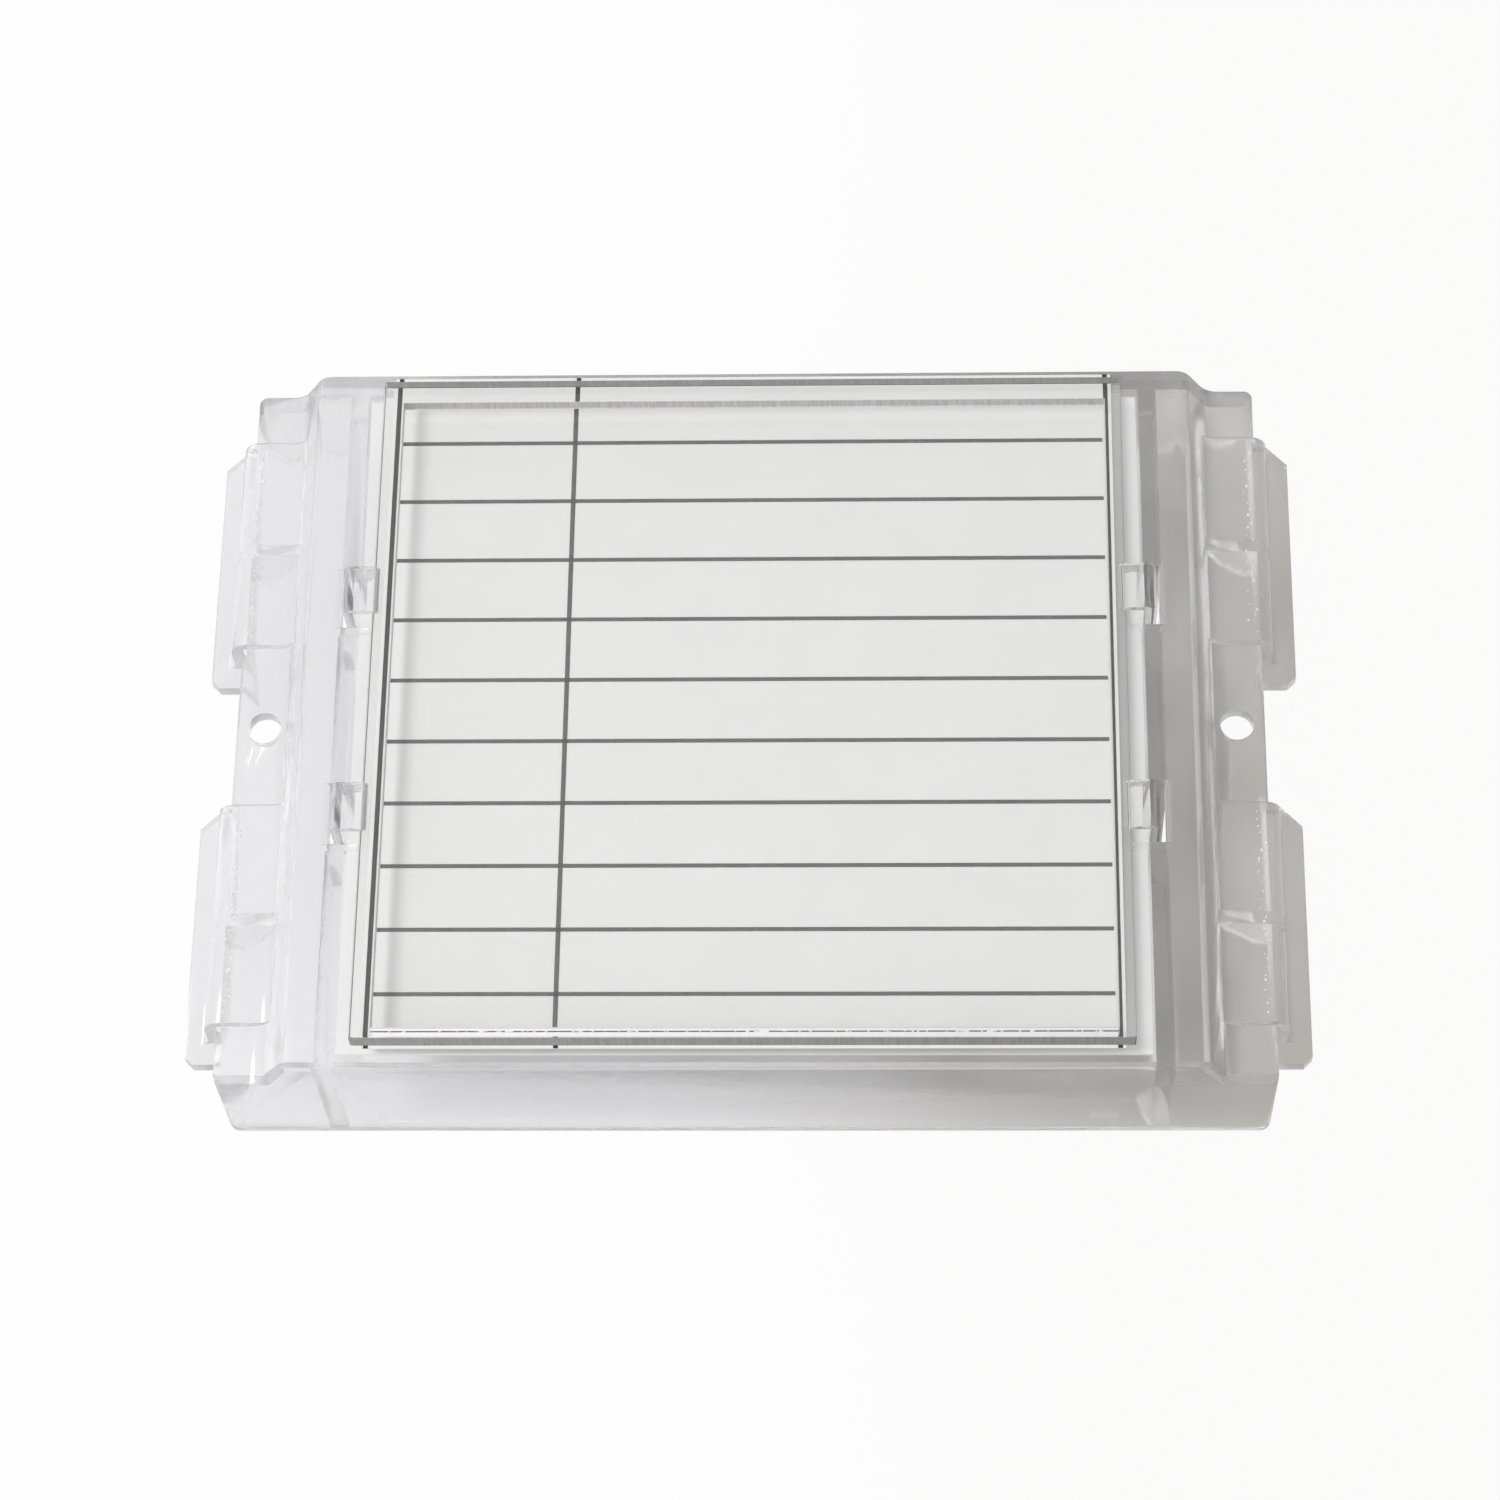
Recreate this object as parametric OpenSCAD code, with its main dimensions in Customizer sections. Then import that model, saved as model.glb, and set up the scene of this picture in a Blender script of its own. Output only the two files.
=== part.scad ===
// Clear ruled counting-plate holder.
// A clear moulded frame carries a ruled white sheet under two stacked clear plates, which four
// sprung latches keep down. Millimetres, +Z up, +Y to the rear, origin on the table under the middle.

/* [Frame] */
// Depth over the front and rear walls
frame_d = 91; // [86:0.5:96]
// Width of the deck's flat top
deck_w = 103; // [102:0.2:104]
// Height of the deck's top above the table
deck_z = 20; // [17:0.5:28]
// Thickness of the deck
deck_t = 3; // [2:0.1:4]
// Radius of the deck's rounded shoulders
shoulder_r = 2; // [1.6:0.1:2.2]
// Angle of the shoulder's slope from upright
slope_a = 30; // [20:1:35]
// Radius where the slope runs out into the flange
foot_r = 2.6; // [2:0.1:2.8]
// Width over the two side flanges
flange_w = 122.2; // [120:0.2:124]
// Drop from the deck's top to the flanges
flange_drop = 5; // [4:0.1:6]
// Thickness of the flanges and the slope
flange_t = 1.8; // [1.4:0.1:2.2]
// Thickness of the front and rear walls
end_wall_t = 1.7; // [1.2:0.1:2.2]
// Clear width between the side walls
inner_w = 94; // [93.8:0.1:94.4]
// Thickness of the side walls
side_wall_t = 2.2; // [1.6:0.1:2.4]
// Radius of the frame's upright corners
corner_r = 1; // [0.6:0.1:1.5]
// Radius of the lower corners of the front and rear walls
wall_corner_r = 1.5; // [0.8:0.1:3]

/* [Wings] */
// Length of a wing along the side
wing_l = 27.8; // [22:0.2:30]
// Distance between the two wings of one side
wing_pitch = 49; // [44:0.5:54]
// Step up from the flange to the wing's ledge
wing_rise = 1.2; // [0.8:0.1:1.6]
// Width over the wings' drop walls
wing_w = 125.2; // [124.4:0.2:127]
// Radius of the curl from the ledge to the drop wall
curl_r = 2.3; // [1.2:0.1:2.8]
// Drop from the ledge to the lip
lip_drop = 6.4; // [5:0.1:7.5]
// Thickness of the lip and the drop wall
lip_t = 1.8; // [1.2:0.1:2.2]
// Width over the lips
lip_w = 131; // [129.6:0.2:134]
// Length of a lip along the side
lip_l = 33.1; // [30:0.1:36]
// Radius between the drop wall and the lip
lip_fillet_r = 1.1; // [0.4:0.1:1.2]
// Chamfer on a lip's rear corner
lip_rear_chamfer = 3; // [1:0.1:3.2]
// Chamfer on a lip's front corner
lip_front_chamfer = 1; // [0.4:0.1:2]
// Thickness of the rib under each wing
rib_t = 1.6; // [1:0.1:2.4]

/* [Screw holes] */
// Distance between the two screw holes
hole_spacing = 115.6; // [114.8:0.1:116.2]
// Diameter of a screw hole
hole_d = 4; // [3.2:0.1:4.4]

/* [Card, sheet and plates] */
// Thickness of the white card under the deck
card_t = 0.4; // [0.2:0.05:0.8]
// Width of the white card
card_w = 93.4; // [92:0.1:93.6]
// Gap between the white card and the front and rear walls
card_gap = 1; // [0.1:0.1:2]
// Width of the window plate
plate_w = 89.3; // [88.6:0.1:89.4]
// Depth of the window plate
plate_d = 86; // [80:0.5:89]
// Thickness of the window plate
plate_t = 2.6; // [2:0.1:3]
// Width of the ruled sheet
sheet_w = 87.2; // [87:0.1:88.6]
// How far the ruled sheet shows in front of the window plate
sheet_front = 0.3; // [0.2:0.1:1]
// How far the ruled sheet shows behind the window plate
sheet_rear = 1.9; // [0.2:0.1:2.2]
// Thickness of the ruled sheet
sheet_t = 0.25; // [0.15:0.05:0.4]
// Width of the cover plate
cover_w = 84.6; // [80:0.2:85]
// Depth of the cover plate
cover_d = 81.5; // [70:0.5:85]
// Thickness of the cover plate
cover_t = 2.6; // [1.5:0.1:3]
// How far the cover plate lies to the right of the middle
cover_x = 0.35; // [0:0.05:0.4]
// Running gap between pieces that move on each other
run_gap = 0.1; // [0.05:0.01:0.15]

/* [Ruling] */
// Number of lines across
row_count = 10; // [4:1:10]
// Distance between lines across
row_pitch = 8; // [6:0.1:8]
// Front line's distance from the window plate's front edge
first_row = 5.6; // [3:0.1:8]
// Distance between the two border lines
border_w = 85.8; // [84:0.1:86.2]
// Divider's place, as a share of the width from the left border
divider_share = 0.253; // [0.1:0.001:0.9]
// Width of the border lines
border_line = 0.55; // [0.4:0.05:0.8]
// Width of the divider
divider_line = 0.55; // [0.3:0.05:1]
// Width of the lines across
row_line = 0.5; // [0.3:0.05:1]
// Gap between the border lines and the ends of the lines across
row_gap = 0.25; // [0.1:0.05:1]
// Thickness of the ink
ink_t = 0.05; // [0.03:0.01:0.1]

/* [Latches] */
// Distance between the front and rear latches
latch_pitch = 28.4; // [22:0.2:36]
// Length of a latch along the side
latch_l = 6; // [4:0.1:6]
// Length of the window around a latch
window_l = 7.9; // [7.8:0.1:9]
// How far the windows sit behind the middle as a group
window_back = 0.6; // [0:0.1:1]
// How far a latch stands in front of its window's middle
latch_fore = 0.8; // [0:0.1:0.8]
// Thickness of a latch's leg
leg_t = 1.1; // [1:0.05:1.2]
// Leg's inner face, from the middle
leg_x = 46.9; // [46.9:0.05:47]
// How far a hook reaches over the window plate
hook_reach = 0.8; // [0.6:0.05:0.8]
// Thickness of a hook
hook_t = 0.9; // [0.8:0.1:1.4]
// Height of the bend at a leg's root
root_z = 3.6; // [3:0.1:4.4]
// Width of the slot behind a leg
slot_w = 0.9; // [0.85:0.01:1.1]
// Chamfer on the slot's upper edge
slot_chamfer = 0.6; // [0.4:0.05:0.8]

/* [Hidden] */

LEFT = -1;
RIGHT = 1;
FRONT = -1;
REAR = 1;

$fn = 48;
arc_steps = 8;

// Overlap that makes joined and cut shapes meet cleanly
bite = 0.4;

// Heights, from the table up
deck_under_z = deck_z - deck_t;
flange_z = deck_z - flange_drop;
flange_under_z = flange_z - flange_t;
ledge_z = flange_z + wing_rise;
lip_z = ledge_z - lip_drop;
sheet_z = deck_z + run_gap;
ink_z = sheet_z + sheet_t;
plate_z = ink_z + ink_t;
plate_top_z = plate_z + plate_t;
cover_z = plate_top_z + run_gap;
hook_z = plate_top_z + 1.5 * run_gap;
hook_top_z = hook_z + hook_t;

// Half widths, from the middle out
plate_x = plate_w / 2;
wall_x = inner_w / 2;
wall_out_x = wall_x + side_wall_t;
flange_x = flange_w / 2;
wing_x = wing_w / 2;
drop_in_x = wing_x - lip_t;
lip_x = lip_w / 2;
leg_out_x = leg_x + leg_t;
slot_out_x = leg_out_x + slot_w;
window_x = plate_x + run_gap;
hook_tip_x = plate_x - hook_reach;

// Depths
wall_in_y = frame_d / 2 - end_wall_t;
card_d = 2 * wall_in_y - 2 * card_gap;
sheet_front_y = -plate_d / 2 - sheet_front;
sheet_rear_y = plate_d / 2 + sheet_rear;
cover_front_y = -plate_d / 2;

// Ruling, from the left border and from the front
border_x = border_w / 2;
divider_x = -border_x + divider_share * border_w;
row_half_l = border_x - border_line / 2 - row_gap;
row_y0 = -plate_d / 2 + first_row;

// The slope touches the shoulder's arc at its top and the arc of its foot at its bottom
slope_top = [deck_w / 2 + shoulder_r * cos(slope_a), deck_z - shoulder_r + shoulder_r * sin(slope_a)];

// Small ridges inside the front and rear walls, near their lower edge
ridge_x = 41.5;
ridge_l = 3.4;
ridge_r = 0.8;
ridge_z = 2;

// Rib under a wing: where it starts on the flange and where it ends on the drop wall
rib_in_x = wall_out_x + 4.8;
rib_end_w = 1.5;

function slope_x(z) = slope_top[0] + (slope_top[1] - z) * tan(slope_a);
function under_x(z) = slope_x(z) - flange_t / cos(slope_a);

// Middle of a window along the side
function window_y(row) = row * latch_pitch / 2 + window_back;

// Points of an arc about c from angle a0 to a1
function arc(c, r, a0, a1) =
    [for (i = [0:arc_steps])
        let (a = a0 + (a1 - a0) * i / arc_steps)
            c + r * [cos(a), sin(a)]];

// Where the slope ends when it runs out into a flat at height z
function slope_end_z(z) = z + foot_r - foot_r * sin(slope_a);

// Arc from the slope's end into a flat at height z, moved inwards by sink
function foot(z, sink = 0) =
    let (x = slope_x(slope_end_z(z)) + foot_r * cos(slope_a) - sink)
        arc([x, z + foot_r], foot_r, 180 + slope_a, 270);

// A right half outline, closed by its mirror image
function both_halves(half) =
    concat(half, [for (i = [len(half) - 1:-1:0]) [-half[i][0], half[i][1]]]);

// Rounded rectangle about the middle
function rounded_rect(w, d, r) = both_halves(concat(
    arc([w / 2 - r, d / 2 - r], r, 90, 0),
    arc([w / 2 - r, -d / 2 + r], r, 0, -90)));

// Extrudes an outline drawn in X and Z along Y, about the middle
module along_y(l) {
    rotate([90, 0, 0])
        linear_extrude(height = l, center = true)
            children();
}

// Places a shape drawn on the right on either side
module on_side(side) {
    mirror([side == LEFT ? 1 : 0, 0, 0])
        children();
}

// Plain box between two corners
module span(low, high) {
    translate(low)
        cube(high - low);
}

// Deck, slopes and flanges in one bent sheet
module roof() {
    along_y(frame_d)
        polygon(both_halves(concat(
            arc([deck_w / 2, deck_z - shoulder_r], shoulder_r, 90, slope_a),
            foot(flange_z),
            [[flange_x, flange_z],
                [flange_x, flange_under_z],
                [under_x(flange_under_z), flange_under_z],
                [under_x(deck_under_z), deck_under_z]])));
}

// Front or rear wall, as wide as the flanges
module end_wall(row) {
    translate([0, row * (frame_d - end_wall_t) / 2, 0])
        along_y(end_wall_t)
            polygon(both_halves(concat(
                [[under_x(deck_under_z) + bite, deck_under_z + bite],
                    [under_x(flange_under_z) + bite, flange_under_z + bite],
                    [flange_x, flange_under_z + bite]],
                arc([flange_x - wall_corner_r, wall_corner_r], wall_corner_r, 0, -90))));
}

// Wing on the right: ledge, curl and drop wall
module wing_bend() {
    top_z = slope_end_z(ledge_z);
    along_y(wing_l)
        polygon(concat(
            [[slope_x(top_z) - bite, top_z]],
            foot(ledge_z, bite / 2),
            arc([wing_x - curl_r, ledge_z - curl_r], curl_r, 90, 0),
            arc([wing_x + lip_fillet_r, lip_z + lip_fillet_r], lip_fillet_r, 180, 270),
            [[lip_x - lip_rear_chamfer / 2, lip_z],
                [lip_x - lip_rear_chamfer / 2, lip_z - lip_t / 2],
                [drop_in_x, lip_z - lip_t / 2],
                [drop_in_x, flange_under_z + bite],
                [slope_x(ledge_z) - bite, flange_under_z + bite]]));
}

// Lip on the right, longer than its wing, with its outer corners cut off
module lip() {
    half_l = lip_l / 2;
    translate([0, 0, lip_z - lip_t])
        linear_extrude(height = lip_t)
            polygon([[drop_in_x, -half_l],
                [lip_x - lip_front_chamfer, -half_l],
                [lip_x, -half_l + lip_front_chamfer],
                [lip_x, half_l - lip_rear_chamfer],
                [lip_x - lip_rear_chamfer, half_l],
                [drop_in_x, half_l]]);
}

// Rib on the right, between the flange and the drop wall
module rib() {
    along_y(rib_t)
        polygon([[rib_in_x, flange_under_z + bite],
            [drop_in_x + bite, flange_under_z + bite],
            [drop_in_x + bite, lip_z - lip_t],
            [drop_in_x - rib_end_w, lip_z - lip_t],
            [rib_in_x, flange_under_z - bite]]);
}

module wing(side, row) {
    on_side(side)
        translate([0, row * wing_pitch / 2, 0]) {
            wing_bend();
            lip();
            rib();
        }
}

// Ridge inside a front or rear wall
module ridge(side, row) {
    translate([side * ridge_x, row * wall_in_y, ridge_z])
        rotate([0, 90, 0])
            cylinder(r = ridge_r, h = ridge_l, center = true);
}

// Room for a latch: a window in the deck, a slot behind the leg and a notch in the side wall
module latch_room(side, row) {
    half_l = window_l / 2;
    notch_z = root_z - leg_t / 2 - run_gap;
    on_side(side)
        translate([0, window_y(row), 0]) {
            span([window_x, -half_l, deck_under_z - bite], [slot_out_x, half_l, deck_z + bite]);
            span([wall_x - bite, -half_l, notch_z], [wall_out_x + bite, half_l, deck_under_z]);
            along_y(window_l)
                polygon([[slot_out_x - bite, deck_z - slot_chamfer - bite],
                    [slot_out_x + slot_chamfer + bite, deck_z + bite],
                    [slot_out_x - bite, deck_z + bite]]);
        }
}

module screw_hole(side) {
    translate([side * hole_spacing / 2, 0, flange_under_z - bite])
        cylinder(d = hole_d, h = flange_t + 2 * bite);
}

// One clear moulding
module frame() {
    color([0.86, 0.87, 0.88, 0.5])
        difference() {
            union() {
                intersection() {
                    union() {
                        roof();
                        end_wall(FRONT);
                        end_wall(REAR);
                    }
                    linear_extrude(height = deck_z)
                        polygon(rounded_rect(flange_w, frame_d, corner_r));
                }
                for (side = [LEFT, RIGHT]) {
                    on_side(side)
                        span([wall_x, -wall_in_y - bite, 0],
                            [wall_out_x, wall_in_y + bite, deck_under_z + bite]);
                    for (row = [FRONT, REAR]) {
                        wing(side, row);
                        ridge(side, row);
                    }
                }
            }
            for (side = [LEFT, RIGHT]) {
                screw_hole(side);
                for (row = [FRONT, REAR])
                    latch_room(side, row);
            }
        }
}

// White card against the underside of the deck
module backing_card() {
    color([0.95, 0.95, 0.94])
        span([-card_w / 2, -card_d / 2, deck_under_z - card_t], [card_w / 2, card_d / 2, deck_under_z]);
}

// White sheet under the window plate
module ruled_sheet() {
    color([0.93, 0.93, 0.92])
        span([-sheet_w / 2, sheet_front_y, sheet_z], [sheet_w / 2, sheet_rear_y, ink_z]);
}

// A line along the sheet's whole depth
module line_along(x, w) {
    span([x - w / 2, sheet_front_y, ink_z], [x + w / 2, sheet_rear_y, plate_z]);
}

// Printed lines: two borders, a divider and the rows
module ruling() {
    color([0.22, 0.21, 0.2]) {
        for (side = [LEFT, RIGHT])
            line_along(side * border_x, border_line);
        line_along(divider_x, divider_line);
        for (i = [0:row_count - 1])
            translate([0, row_y0 + i * row_pitch, 0])
                span([-row_half_l, -row_line / 2, ink_z], [row_half_l, row_line / 2, plate_z]);
    }
}

// Clear plate that the hooks hold by its sides
module window_plate() {
    color([0.9, 0.91, 0.92, 0.4])
        span([-plate_x, -plate_d / 2, plate_z], [plate_x, plate_d / 2, plate_top_z]);
}

// Clear plate on top, flush with the window plate's front edge
module cover_plate() {
    color([0.9, 0.91, 0.92, 0.4])
        span([cover_x - cover_w / 2, cover_front_y, cover_z],
            [cover_x + cover_w / 2, cover_front_y + cover_d, cover_z + cover_t]);
}

// Leg that bends at its root, with a ramped hook over the window plate
module latch(side, row) {
    ramp = hook_t / 2;
    color([0.84, 0.85, 0.86, 0.6])
        on_side(side)
            translate([0, window_y(row) - latch_fore, 0])
                along_y(latch_l)
                    union() {
                        translate([leg_x + leg_t / 2, root_z])
                            circle(d = leg_t);
                        polygon([[leg_x, root_z],
                            [leg_out_x, root_z],
                            [leg_out_x, hook_top_z - ramp],
                            [leg_out_x - ramp, hook_top_z],
                            [hook_tip_x + 2 * ramp, hook_top_z],
                            [hook_tip_x, hook_top_z - ramp],
                            [hook_tip_x, hook_z],
                            [leg_x, hook_z]]);
                    }
}

module rear_left_latch() {
    latch(LEFT, REAR);
}

module rear_right_latch() {
    latch(RIGHT, REAR);
}

module front_left_latch() {
    latch(LEFT, FRONT);
}

module front_right_latch() {
    latch(RIGHT, FRONT);
}

frame();
backing_card();
ruled_sheet();
ruling();
window_plate();
cover_plate();
rear_left_latch();
rear_right_latch();
front_left_latch();
front_right_latch();
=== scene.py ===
"""Looks of the clear ruled counting-plate holder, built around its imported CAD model.

Metres, +Z up, +Y to the rear, in the same frame as the CAD model.
"""

import logging
import math
from dataclasses import dataclass
from enum import Enum
from typing import Any

import bmesh
import bpy
from mathutils import Matrix, Vector


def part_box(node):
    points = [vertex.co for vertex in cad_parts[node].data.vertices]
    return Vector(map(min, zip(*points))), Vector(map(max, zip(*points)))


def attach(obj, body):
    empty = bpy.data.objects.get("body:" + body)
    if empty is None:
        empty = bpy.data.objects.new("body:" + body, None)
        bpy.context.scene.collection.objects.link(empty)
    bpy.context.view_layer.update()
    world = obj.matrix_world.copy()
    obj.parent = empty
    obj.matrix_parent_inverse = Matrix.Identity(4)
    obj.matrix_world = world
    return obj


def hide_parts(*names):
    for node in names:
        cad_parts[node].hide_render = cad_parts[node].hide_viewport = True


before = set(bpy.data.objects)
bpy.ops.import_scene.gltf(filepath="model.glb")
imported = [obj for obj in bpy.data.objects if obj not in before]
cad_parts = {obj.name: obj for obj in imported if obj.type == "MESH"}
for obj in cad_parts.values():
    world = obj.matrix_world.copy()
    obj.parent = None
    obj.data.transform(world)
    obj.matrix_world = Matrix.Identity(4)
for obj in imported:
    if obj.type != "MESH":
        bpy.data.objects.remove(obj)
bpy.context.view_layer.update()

MM = 0.001
LOG = logging.getLogger("holder")

Pair = tuple[float, float]
Triple = tuple[float, float, float]
Colour = tuple[float, float, float, float]

# Most of a noise's values lie between these two
NOISE_LOW = 0.3
NOISE_HIGH = 0.7

# Refractive index of clear acrylic plastic
ACRYLIC = 1.49


class Side(Enum):
    """The two long sides of the holder, by the sign of X."""

    LEFT = -1
    RIGHT = 1


class Row(Enum):
    """The front and the rear half of the holder, by the sign of Y."""

    FRONT = -1
    REAR = 1


class Slot(Enum):
    """The record's material slots."""

    MOULDING = "clear_moulding"
    PLATE = "clear_plate"
    SHEET = "white_sheet"
    CARD = "white_card"
    INK = "black_ink"


def grey(level: float) -> Colour:
    """Returns a neutral colour of this level."""
    return (level, level, level, 1.0)


class NodeBook:
    """A node tree with short calls that add and link its nodes."""

    def __init__(self, tree: bpy.types.NodeTree) -> None:
        """Keeps the tree and empties it.

        Args:
            tree: The node tree to fill.
        """
        self.tree = tree
        self.tree.nodes.clear()

    def add(self, kind: str, inputs: dict[Any, Any] | None = None, **settings: Any) -> bpy.types.Node:
        """Adds a node.

        Args:
            kind: Blender's name of the node's type.
            inputs: Values or sockets for its inputs, by name or number.
            **settings: The node's own properties.

        Returns:
            The new node.
        """
        node = self.tree.nodes.new(kind)
        for key, value in settings.items():
            setattr(node, key, value)
        for key, value in (inputs or {}).items():
            if isinstance(value, bpy.types.NodeSocket):
                self.tree.links.new(value, node.inputs[key])
            else:
                node.inputs[key].default_value = value
        return node

    def math(self, operation: str, *values: Any) -> bpy.types.NodeSocket:
        """Adds a Math node.

        Args:
            operation: What the node works out.
            *values: Its numbers or sockets, in order.

        Returns:
            The node's result.
        """
        return self.add("ShaderNodeMath", dict(enumerate(values)), operation=operation).outputs[0]


class MaterialBook(NodeBook):
    """A material's node tree, with the textures that the finishes share."""

    def __init__(self, name: str) -> None:
        """Makes an empty material.

        Args:
            name: The material's name.
        """
        self.material = bpy.data.materials.new(name)
        self.material.use_nodes = True
        super().__init__(self.material.node_tree)
        self.place = self.add("ShaderNodeTexCoord").outputs["Object"]

    def noise(self, grain: float, stretch: Triple = (1, 1, 1), detail: float = 3) -> Any:
        """Adds a noise on the piece's own coordinates.

        Args:
            grain: Size of the noise's blotches, in metres.
            stretch: How much longer a blotch is along each axis.
            detail: Number of finer layers.

        Returns:
            The noise's value, about 0.5 on average.
        """
        scale = [1 / (grain * s) for s in stretch]
        mapped = self.add("ShaderNodeMapping", {"Vector": self.place, "Scale": scale}).outputs[0]
        inputs = {"Vector": mapped, "Scale": 1, "Detail": detail}
        return self.add("ShaderNodeTexNoise", inputs).outputs[0]

    def spread(self, value: Any, low: float, high: float) -> Any:
        """Spreads a noise's middle range over two numbers.

        Args:
            value: The noise.
            low: Result where the noise is low.
            high: Result where the noise is high.

        Returns:
            The result's socket.
        """
        inputs = {
            "Value": value,
            "From Min": NOISE_LOW,
            "From Max": NOISE_HIGH,
            "To Min": low,
            "To Max": high,
        }
        return self.add("ShaderNodeMapRange", inputs).outputs[0]

    def tint(self, share: Any, first: Colour, second: Colour) -> Any:
        """Mixes two colours.

        Args:
            share: Share of the second colour.
            first: Colour at 0.
            second: Colour at 1.

        Returns:
            The colour's socket.
        """
        node = self.add("ShaderNodeMix", {0: share, 6: first, 7: second}, data_type="RGBA")
        return node.outputs[2]

    def bump(self, height: Any, depth: float, strength: float = 1.0, normal: Any = None) -> Any:
        """Turns a height into a normal.

        Args:
            height: Height from 0 to 1.
            depth: Depth of the whole height, in metres.
            strength: Share of the effect.
            normal: A normal to add it to.

        Returns:
            The normal's socket.
        """
        inputs = {"Height": height, "Distance": depth, "Strength": strength}
        if normal is not None:
            inputs["Normal"] = normal
        return self.add("ShaderNodeBump", inputs).outputs[0]

    def show(self, shader: Any) -> bpy.types.Material:
        """Sets the surface's shader.

        Args:
            shader: The shader's socket.

        Returns:
            The finished material.
        """
        self.add("ShaderNodeOutputMaterial", {"Surface": shader})
        return self.material

    def show_clear(self, shader: Any, lets_by: Colour) -> bpy.types.Material:
        """Sets a clear surface that lets lamps shine through.

        Args:
            shader: The clear shader's socket.
            lets_by: Share of the lamps' light that each face lets by.

        Returns:
            The finished material.
        """
        path = self.add("ShaderNodeLightPath").outputs
        open_face = self.add("ShaderNodeBsdfTransparent", {"Color": lets_by}).outputs[0]
        lit = self.math("MAXIMUM", path["Is Shadow Ray"], path["Is Diffuse Ray"])
        return self.show(self.add("ShaderNodeMixShader", {0: lit, 1: shader, 2: open_face}).outputs[0])


@dataclass(frozen=True)
class ClearMoulding:
    """Clear moulded plastic, a little hazy, with flow lines and a fine grain.

    Its index is below real plastic's, whose reflections in the walls came out too hard.
    """

    name: str = "clear_moulding"
    tint: Colour = (0.965, 0.965, 0.965, 1)
    haze_tint: Colour = (0.93, 0.93, 0.935, 1)
    index: float = 1.4
    clear: Pair = (0.8, 0.9)
    roughness: Pair = (0.1, 0.24)
    flow_grain: float = 2.6 * MM
    flow_stretch: Triple = (1, 7, 1)
    flow_depth: float = 0.02 * MM
    grain: float = 0.35 * MM
    grain_depth: float = 0.004 * MM
    cloud_grain: float = 15.6 * MM
    lets_by: Colour = (0.98, 0.98, 0.98, 1)

    def material(self) -> bpy.types.Material:
        """Returns the finish as a material."""
        book = MaterialBook(self.name)
        flow = book.noise(self.flow_grain, self.flow_stretch)
        grain = book.noise(self.grain, detail=2)
        cloud = book.noise(self.cloud_grain)
        normal = book.bump(flow, self.flow_depth)
        normal = book.bump(grain, self.grain_depth, normal=normal)
        inputs = {
            "Base Color": book.tint(book.spread(cloud, 0, 1), self.tint, self.haze_tint),
            "Transmission Weight": book.spread(cloud, self.clear[1], self.clear[0]),
            "Roughness": book.spread(grain, *self.roughness),
            "IOR": self.index,
            "Normal": normal,
        }
        shader = book.add("ShaderNodeBsdfPrincipled", inputs).outputs[0]
        return book.show_clear(shader, self.lets_by)


@dataclass(frozen=True)
class PolishedFace:
    """Polished face of a clear plate, with faint rubbing marks."""

    tint: Colour = (0.985, 0.985, 0.985, 1)
    index: float = ACRYLIC
    roughness: Pair = (0.0, 0.03)
    rub_grain: float = 1.2 * MM
    rub_stretch: Triple = (9, 1, 1)
    lets_by: Colour = (0.97, 0.97, 0.97, 1)

    def material(self) -> bpy.types.Material:
        """Returns the finish as a material."""
        book = MaterialBook("polished_face")
        rub = book.noise(self.rub_grain, self.rub_stretch)
        inputs = {
            "Base Color": self.tint,
            "Transmission Weight": 1.0,
            "Roughness": book.spread(rub, *self.roughness),
            "IOR": self.index,
        }
        shader = book.add("ShaderNodeBsdfPrincipled", inputs).outputs[0]
        return book.show_clear(shader, self.lets_by)


@dataclass(frozen=True)
class SawnEdge:
    """Sawn edge of a clear plate: frosted, with upright saw marks.

    Its emission is painted light standing in for the light that leaves the plate there, and it can
    carry a dark score line.
    """

    name: str
    pale: Colour
    dark: Colour
    roughness: Pair = (0.5, 0.8)
    mark_grain: float = 0.3 * MM
    mark_stretch: Triple = (1, 1, 12)
    mark_depth: float = 0.006 * MM
    lets_by: Colour = (0.5, 0.5, 0.5, 1)
    painted_glow: float = 0.0
    score_z: float = 0.0
    score_w: float = 0.0
    score_tone: Colour = (0.16, 0.16, 0.17, 1)
    score_grain: float = 0.9 * MM
    score_whole: float = 0.62

    def material(self) -> bpy.types.Material:
        """Returns the finish as a material."""
        book = MaterialBook(self.name)
        marks = book.noise(self.mark_grain, self.mark_stretch)
        colour = book.tint(book.spread(marks, 0, 1), self.pale, self.dark)
        if self.score_w:
            colour = book.tint(self.score(book), colour, self.score_tone)
        inputs = {
            "Base Color": colour,
            "Roughness": book.spread(marks, *self.roughness),
            "Specular IOR Level": 0.0,
            "Normal": book.bump(marks, self.mark_depth),
            # Painted light: emission makes the edge shine with the light that would leave the plate
            # there
            "Emission Color": colour,
            "Emission Strength": self.painted_glow,
        }
        shader = book.add("ShaderNodeBsdfPrincipled", inputs).outputs[0]
        return book.show_clear(shader, self.lets_by)

    def score(self, book: MaterialBook) -> Any:
        """Adds the dark line that the saw scored along the edge, broken by chips.

        Args:
            book: The material's tree.

        Returns:
            Share of the line's tone.
        """
        z = book.add("ShaderNodeSeparateXYZ", {0: book.place}).outputs[2]
        line = book.math("COMPARE", z, self.score_z, self.score_w / 2)
        whole = book.math("LESS_THAN", book.noise(self.score_grain, detail=1), self.score_whole)
        return book.math("MULTIPLY", line, whole)


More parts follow.
